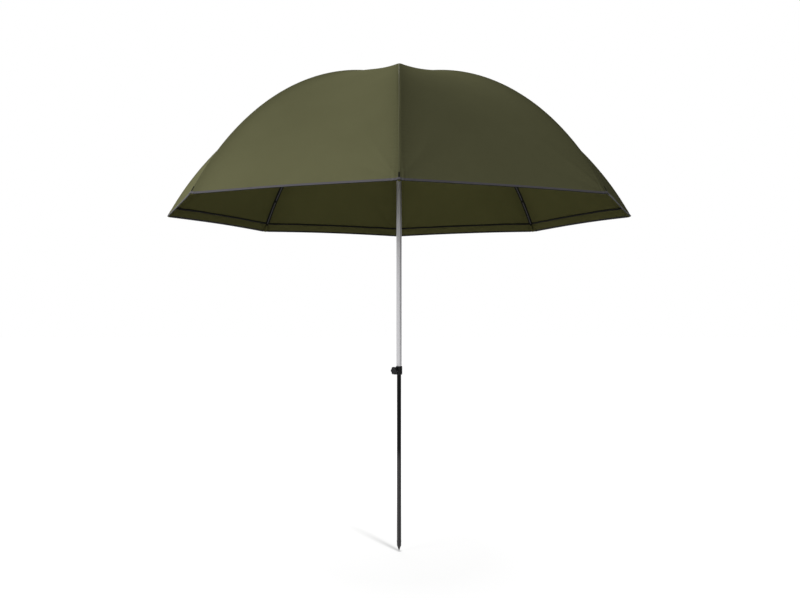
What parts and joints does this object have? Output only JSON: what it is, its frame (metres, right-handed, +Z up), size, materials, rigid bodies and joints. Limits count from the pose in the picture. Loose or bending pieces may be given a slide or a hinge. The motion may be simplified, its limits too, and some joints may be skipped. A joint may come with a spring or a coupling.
{
  "type": "fishing umbrella",
  "caption": "Olive domed fishing umbrella on a two-part telescopic pole with a ground spike, a clamp knob, and ribs and stretchers that fold with a sliding runner.",
  "frame": {"origin": "the point of the ground spike, on the pole's axis", "axes": "+Z up along the pole; the first rib points to -Y, towards the viewer, and +X is to the viewer's right"},
  "size_m": [2.2, 2.2, 2.2659],
  "materials": {
    "aluminium_tube": "drawn tube, satin",
    "black_steel": "gloss black paint",
    "rib_steel": "black coated steel",
    "zinc_steel": "zinc plated",
    "black_plastic": "moulded, slight gloss",
    "glass_fibre": "pultruded black rod",
    "olive_cloth": "coated woven polyester"
  },
  "bodies": {
    "ground_pole": {"ground_pole": "black_steel", "ground_spike": "black_steel", "spike_rivet": "black_steel", "pole_plug": "black_plastic"},
    "mast": {"mast_tube": "aluminium_tube", "mast_bush": "black_plastic", "clamp_collar": "black_plastic", "clamp_nut": "zinc_steel", "crown": "black_plastic", "crown_wire": "zinc_steel", "crown_patch": "olive_cloth", "crown_cap": "black_plastic"},
    "clamp_knob": {"clamp_knob": "black_plastic", "clamp_stud": "zinc_steel"},
    "runner": {"runner": "black_plastic", "runner_wire": "zinc_steel", "catch_pin": "zinc_steel", "catch_spring": "zinc_steel"},
    "runner_catch": {"runner_catch": "black_plastic"},
    "rib_inner_1": {"rib_inner_1": "rib_steel", "canopy_inner_1": "olive_cloth"},
    "rib_outer_1": {"rib_outer_1": "glass_fibre", "canopy_outer_1": "olive_cloth"},
    "stretcher_1": {"stretcher_1": "rib_steel"},
    "rib_inner_2": {"rib_inner_2": "rib_steel", "canopy_inner_2": "olive_cloth"},
    "rib_outer_2": {"rib_outer_2": "glass_fibre", "canopy_outer_2": "olive_cloth"},
    "stretcher_2": {"stretcher_2": "rib_steel"},
    "rib_inner_3": {"rib_inner_3": "rib_steel", "canopy_inner_3": "olive_cloth"},
    "rib_outer_3": {"rib_outer_3": "glass_fibre", "canopy_outer_3": "olive_cloth"},
    "stretcher_3": {"stretcher_3": "rib_steel"},
    "rib_inner_4": {"rib_inner_4": "rib_steel", "canopy_inner_4": "olive_cloth"},
    "rib_outer_4": {"rib_outer_4": "glass_fibre", "canopy_outer_4": "olive_cloth"},
    "stretcher_4": {"stretcher_4": "rib_steel"},
    "rib_inner_5": {"rib_inner_5": "rib_steel", "canopy_inner_5": "olive_cloth"},
    "rib_outer_5": {"rib_outer_5": "glass_fibre", "canopy_outer_5": "olive_cloth"},
    "stretcher_5": {"stretcher_5": "rib_steel"},
    "rib_inner_6": {"rib_inner_6": "rib_steel", "canopy_inner_6": "olive_cloth"},
    "rib_outer_6": {"rib_outer_6": "glass_fibre", "canopy_outer_6": "olive_cloth"},
    "stretcher_6": {"stretcher_6": "rib_steel"},
    "rib_inner_7": {"rib_inner_7": "rib_steel", "canopy_inner_7": "olive_cloth"},
    "rib_outer_7": {"rib_outer_7": "glass_fibre", "canopy_outer_7": "olive_cloth"},
    "stretcher_7": {"stretcher_7": "rib_steel"},
    "rib_inner_8": {"rib_inner_8": "rib_steel", "canopy_inner_8": "olive_cloth"},
    "rib_outer_8": {"rib_outer_8": "glass_fibre", "canopy_outer_8": "olive_cloth"},
    "stretcher_8": {"stretcher_8": "rib_steel"}
  },
  "joints": [
    {"name": "mast_height", "type": "slide", "parent": "ground_pole", "child": "mast", "axis": [0, 0, 1], "range_m": [-0.7, 0.099]},
    {"name": "clamp_turn", "type": "hinge", "parent": "mast", "child": "clamp_knob", "pos_m": [0, 0, 0.8565], "axis": [-0.7071, -0.7071, 0], "range_deg": [0, 540]},
    {"name": "canopy_fold", "type": "slide", "parent": "mast", "child": "runner", "axis": [0, 0, -1], "range_m": [0, 0.70453], "deforming": ["canopy_inner_1", "canopy_inner_2", "canopy_inner_3", "canopy_inner_4", "canopy_inner_5", "canopy_inner_6", "canopy_inner_7", "canopy_inner_8", "canopy_outer_1", "canopy_outer_2", "canopy_outer_3", "canopy_outer_4", "canopy_outer_5", "canopy_outer_6", "canopy_outer_7", "canopy_outer_8"]},
    {"name": "catch_press", "type": "hinge", "parent": "runner", "child": "runner_catch", "pos_m": [0.00873, -0.02106, 1.84921], "axis": [0.9239, 0.3827, 0], "range_deg": [0, 8], "stiffness_Nm_per_rad": 0.5, "springref_deg": -5.73, "deforming": ["catch_spring"]},
    {"name": "rib_fold_1", "type": "hinge", "parent": "mast", "child": "rib_inner_1", "pos_m": [0, -0.024, 2.24473], "axis": [1, 0, 0], "range_deg": [0, 69.51]},
    {"name": "rib_bend_1", "type": "hinge", "parent": "rib_inner_1", "child": "rib_outer_1", "pos_m": [0, -0.53402, 2.12457], "axis": [1, 0, 0], "range_deg": [-28.69, 0]},
    {"name": "stretcher_fold_1", "type": "hinge", "parent": "rib_inner_1", "child": "stretcher_1", "pos_m": [0, -0.52336, 2.11642], "axis": [1, 0, 0], "range_deg": [-130.01, 0]},
    {"name": "rib_fold_2", "type": "hinge", "parent": "mast", "child": "rib_inner_2", "pos_m": [0.01697, -0.01697, 2.24473], "axis": [0.7071, 0.7071, 0], "range_deg": [0, 69.51]},
    {"name": "rib_bend_2", "type": "hinge", "parent": "rib_inner_2", "child": "rib_outer_2", "pos_m": [0.37761, -0.37761, 2.12457], "axis": [0.7071, 0.7071, 0], "range_deg": [-28.69, 0]},
    {"name": "stretcher_fold_2", "type": "hinge", "parent": "rib_inner_2", "child": "stretcher_2", "pos_m": [0.37007, -0.37007, 2.11642], "axis": [0.7071, 0.7071, 0], "range_deg": [-130.01, 0]},
    {"name": "rib_fold_3", "type": "hinge", "parent": "mast", "child": "rib_inner_3", "pos_m": [0.024, 0, 2.24473], "axis": [0, 1, 0], "range_deg": [0, 69.51]},
    {"name": "rib_bend_3", "type": "hinge", "parent": "rib_inner_3", "child": "rib_outer_3", "pos_m": [0.53402, 0, 2.12457], "axis": [0, 1, 0], "range_deg": [-28.69, 0]},
    {"name": "stretcher_fold_3", "type": "hinge", "parent": "rib_inner_3", "child": "stretcher_3", "pos_m": [0.52336, 0, 2.11642], "axis": [0, 1, 0], "range_deg": [-130.01, 0]},
    {"name": "rib_fold_4", "type": "hinge", "parent": "mast", "child": "rib_inner_4", "pos_m": [0.01697, 0.01697, 2.24473], "axis": [-0.7071, 0.7071, 0], "range_deg": [0, 69.51]},
    {"name": "rib_bend_4", "type": "hinge", "parent": "rib_inner_4", "child": "rib_outer_4", "pos_m": [0.37761, 0.37761, 2.12457], "axis": [-0.7071, 0.7071, 0], "range_deg": [-28.69, 0]},
    {"name": "stretcher_fold_4", "type": "hinge", "parent": "rib_inner_4", "child": "stretcher_4", "pos_m": [0.37007, 0.37007, 2.11642], "axis": [-0.7071, 0.7071, 0], "range_deg": [-130.01, 0]},
    {"name": "rib_fold_5", "type": "hinge", "parent": "mast", "child": "rib_inner_5", "pos_m": [0, 0.024, 2.24473], "axis": [-1, 0, 0], "range_deg": [0, 69.51]},
    {"name": "rib_bend_5", "type": "hinge", "parent": "rib_inner_5", "child": "rib_outer_5", "pos_m": [0, 0.53402, 2.12457], "axis": [-1, 0, 0], "range_deg": [-28.69, 0]},
    {"name": "stretcher_fold_5", "type": "hinge", "parent": "rib_inner_5", "child": "stretcher_5", "pos_m": [0, 0.52336, 2.11642], "axis": [-1, 0, 0], "range_deg": [-130.01, 0]},
    {"name": "rib_fold_6", "type": "hinge", "parent": "mast", "child": "rib_inner_6", "pos_m": [-0.01697, 0.01697, 2.24473], "axis": [-0.7071, -0.7071, 0], "range_deg": [0, 69.51]},
    {"name": "rib_bend_6", "type": "hinge", "parent": "rib_inner_6", "child": "rib_outer_6", "pos_m": [-0.37761, 0.37761, 2.12457], "axis": [-0.7071, -0.7071, 0], "range_deg": [-28.69, 0]},
    {"name": "stretcher_fold_6", "type": "hinge", "parent": "rib_inner_6", "child": "stretcher_6", "pos_m": [-0.37007, 0.37007, 2.11642], "axis": [-0.7071, -0.7071, 0], "range_deg": [-130.01, 0]},
    {"name": "rib_fold_7", "type": "hinge", "parent": "mast", "child": "rib_inner_7", "pos_m": [-0.024, 0, 2.24473], "axis": [0, -1, 0], "range_deg": [0, 69.51]},
    {"name": "rib_bend_7", "type": "hinge", "parent": "rib_inner_7", "child": "rib_outer_7", "pos_m": [-0.53402, 0, 2.12457], "axis": [0, -1, 0], "range_deg": [-28.69, 0]},
    {"name": "stretcher_fold_7", "type": "hinge", "parent": "rib_inner_7", "child": "stretcher_7", "pos_m": [-0.52336, 0, 2.11642], "axis": [0, -1, 0], "range_deg": [-130.01, 0]},
    {"name": "rib_fold_8", "type": "hinge", "parent": "mast", "child": "rib_inner_8", "pos_m": [-0.01697, -0.01697, 2.24473], "axis": [0.7071, -0.7071, 0], "range_deg": [0, 69.51]},
    {"name": "rib_bend_8", "type": "hinge", "parent": "rib_inner_8", "child": "rib_outer_8", "pos_m": [-0.37761, -0.37761, 2.12457], "axis": [0.7071, -0.7071, 0], "range_deg": [-28.69, 0]},
    {"name": "stretcher_fold_8", "type": "hinge", "parent": "rib_inner_8", "child": "stretcher_8", "pos_m": [-0.37007, -0.37007, 2.11642], "axis": [0.7071, -0.7071, 0], "range_deg": [-130.01, 0]}
  ],
  "couplings": [
    {"joint": "rib_fold_1", "follows": "canopy_fold", "rad_per_m": 1.7219},
    {"joint": "rib_bend_1", "follows": "canopy_fold", "rad_per_m": -0.71065},
    {"joint": "stretcher_fold_1", "follows": "canopy_fold", "rad_per_m": -3.2206},
    {"joint": "rib_fold_2", "follows": "canopy_fold", "rad_per_m": 1.7219},
    {"joint": "rib_bend_2", "follows": "canopy_fold", "rad_per_m": -0.71065},
    {"joint": "stretcher_fold_2", "follows": "canopy_fold", "rad_per_m": -3.2206},
    {"joint": "rib_fold_3", "follows": "canopy_fold", "rad_per_m": 1.7219},
    {"joint": "rib_bend_3", "follows": "canopy_fold", "rad_per_m": -0.71065},
    {"joint": "stretcher_fold_3", "follows": "canopy_fold", "rad_per_m": -3.2206},
    {"joint": "rib_fold_4", "follows": "canopy_fold", "rad_per_m": 1.7219},
    {"joint": "rib_bend_4", "follows": "canopy_fold", "rad_per_m": -0.71065},
    {"joint": "stretcher_fold_4", "follows": "canopy_fold", "rad_per_m": -3.2206},
    {"joint": "rib_fold_5", "follows": "canopy_fold", "rad_per_m": 1.7219},
    {"joint": "rib_bend_5", "follows": "canopy_fold", "rad_per_m": -0.71065},
    {"joint": "stretcher_fold_5", "follows": "canopy_fold", "rad_per_m": -3.2206},
    {"joint": "rib_fold_6", "follows": "canopy_fold", "rad_per_m": 1.7219},
    {"joint": "rib_bend_6", "follows": "canopy_fold", "rad_per_m": -0.71065},
    {"joint": "stretcher_fold_6", "follows": "canopy_fold", "rad_per_m": -3.2206},
    {"joint": "rib_fold_7", "follows": "canopy_fold", "rad_per_m": 1.7219},
    {"joint": "rib_bend_7", "follows": "canopy_fold", "rad_per_m": -0.71065},
    {"joint": "stretcher_fold_7", "follows": "canopy_fold", "rad_per_m": -3.2206},
    {"joint": "rib_fold_8", "follows": "canopy_fold", "rad_per_m": 1.7219},
    {"joint": "rib_bend_8", "follows": "canopy_fold", "rad_per_m": -0.71065},
    {"joint": "stretcher_fold_8", "follows": "canopy_fold", "rad_per_m": -3.2206}
  ]
}
